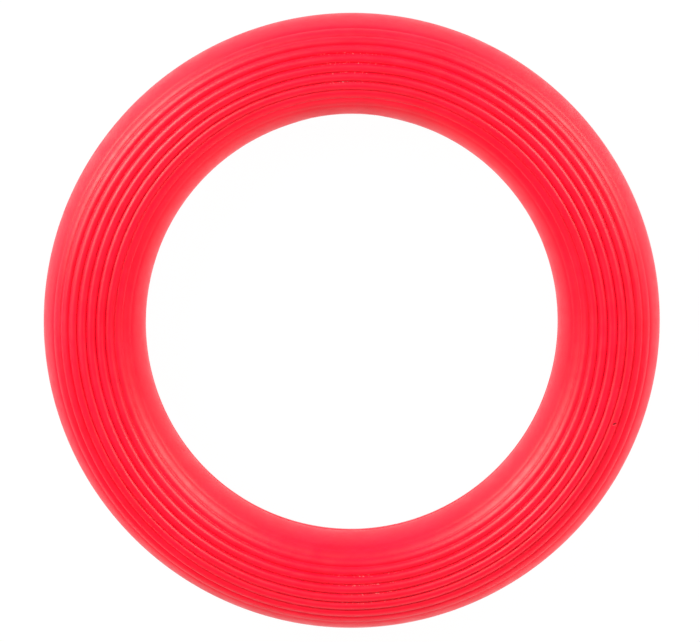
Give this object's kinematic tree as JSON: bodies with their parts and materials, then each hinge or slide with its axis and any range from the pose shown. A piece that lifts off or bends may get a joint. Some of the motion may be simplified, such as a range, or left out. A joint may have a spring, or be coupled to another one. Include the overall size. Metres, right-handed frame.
{
  "type": "flying ring",
  "caption": "Hollow red rubber throwing ring with a round section, concentric grip ribs on both faces and smooth inner and outer bands.",
  "frame": {"origin": "centre of the ring, at mid-thickness", "axes": "+Z is the ring's spin axis, at right angles to the plane that it lies in; the inflation plug is 19.5 degrees from +X towards -Y, in the half above the mid-plane"},
  "size_m": [0.18, 0.18, 0.0294],
  "materials": {
    "shell_rubber": "semi-gloss moulded",
    "seam_rubber": "satin trimmed",
    "plug_gum": "satin"
  },
  "bodies": {
    "root": {"upper_shell": "shell_rubber", "lower_shell": "shell_rubber", "outer_seam_strip": "seam_rubber", "inner_seam_strip": "seam_rubber", "inflation_plug": "plug_gum"}
  },
  "joints": []
}
